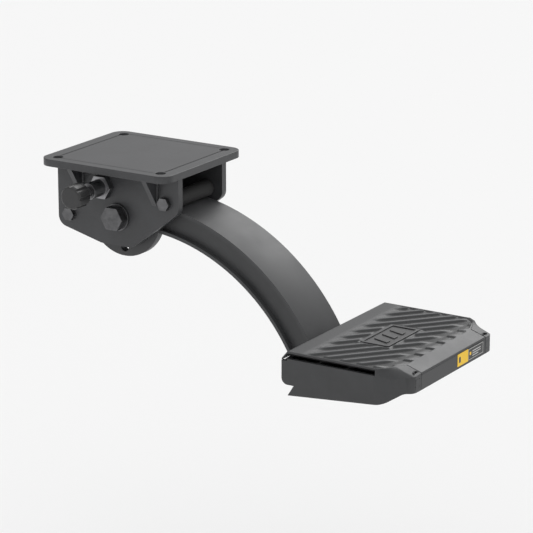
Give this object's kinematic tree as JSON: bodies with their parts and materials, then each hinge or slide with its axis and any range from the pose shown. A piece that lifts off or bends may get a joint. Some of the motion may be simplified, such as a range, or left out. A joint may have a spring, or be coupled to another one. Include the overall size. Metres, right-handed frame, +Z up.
{
  "type": "tailgate step",
  "caption": "Bumper-mounted tailgate step: bracket with a lateral pivot, curved swing arm and a ribbed foot platform that flips down for use and tucks under the body.",
  "frame": {"origin": "centre of the four mounting holes, on the upper face of the bracket's top plate", "axes": "+X to the vehicle's right along the pivot bolt, +Y vehicle forwards, +Z up; the platform stands out towards -Y"},
  "size_m": [0.206, 0.4653, 0.2013],
  "materials": {
    "bracket_paint": "black powder coat, satin",
    "fastener_steel": "black zinc plated steel",
    "barrel_steel": "zinc plated steel",
    "stop_rubber": "moulded rubber",
    "washer_plastic": "filled nylon",
    "bush_bronze": "sintered bronze",
    "arm_casting": "cast aluminium under satin black powder coat",
    "core_extrusion": "black anodised extrusion",
    "rail_plastic": "moulded, fine grain",
    "tread_plastic": "moulded, fine grain",
    "cap_plastic": "moulded, fine grain",
    "badge_plastic": "moulded, smooth",
    "label_yellow": "printed vinyl",
    "label_dark": "printed vinyl",
    "knob_plastic": "moulded, smooth"
  },
  "bodies": {
    "bracket": {"top_plate": "bracket_paint", "cheek_left": "bracket_paint", "cheek_right": "bracket_paint", "gusset_front_left": "bracket_paint", "gusset_front_right": "bracket_paint", "gusset_rear_left": "bracket_paint", "gusset_rear_right": "bracket_paint", "thrust_washer_left": "washer_plastic", "thrust_washer_right": "washer_plastic", "pivot_bolt": "fastener_steel", "pivot_washers": "fastener_steel", "disc_springs": "fastener_steel", "pivot_nut": "fastener_steel", "stop_tube_deploy": "fastener_steel", "stop_tube_stow": "fastener_steel", "stop_sleeve_deploy": "stop_rubber", "stop_sleeve_stow": "stop_rubber", "stop_bolts": "fastener_steel", "stop_nuts": "fastener_steel", "lock_barrel": "barrel_steel", "lock_spring": "fastener_steel"},
    "lock": {"lock_pin": "fastener_steel", "pull_knob": "knob_plastic"},
    "arm": {"swing_arm": "arm_casting", "bushing_left": "bush_bronze", "bushing_right": "bush_bronze", "foot_bolts": "fastener_steel", "nut_bar_front": "fastener_steel", "nut_bar_rear": "fastener_steel", "step_core": "core_extrusion", "tread_plate": "tread_plastic", "rear_rail": "rail_plastic", "end_cap_left": "cap_plastic", "end_cap_right": "cap_plastic", "cap_clip_left": "cap_plastic", "cap_clip_right": "cap_plastic", "cap_screws": "fastener_steel", "badge": "badge_plastic", "label_square": "label_yellow", "label_strip": "label_dark"}
  },
  "joints": [
    {"name": "arm_swing", "type": "hinge", "parent": "bracket", "child": "arm", "pos_m": [0, 0, -0.06], "axis": [1, 0, 0], "range_deg": [0, 150]},
    {"name": "lock_slide", "type": "slide", "parent": "bracket", "child": "lock", "axis": [1, 0, 0], "range_m": [0, 0.01], "deforming": ["lock_spring"]}
  ]
}
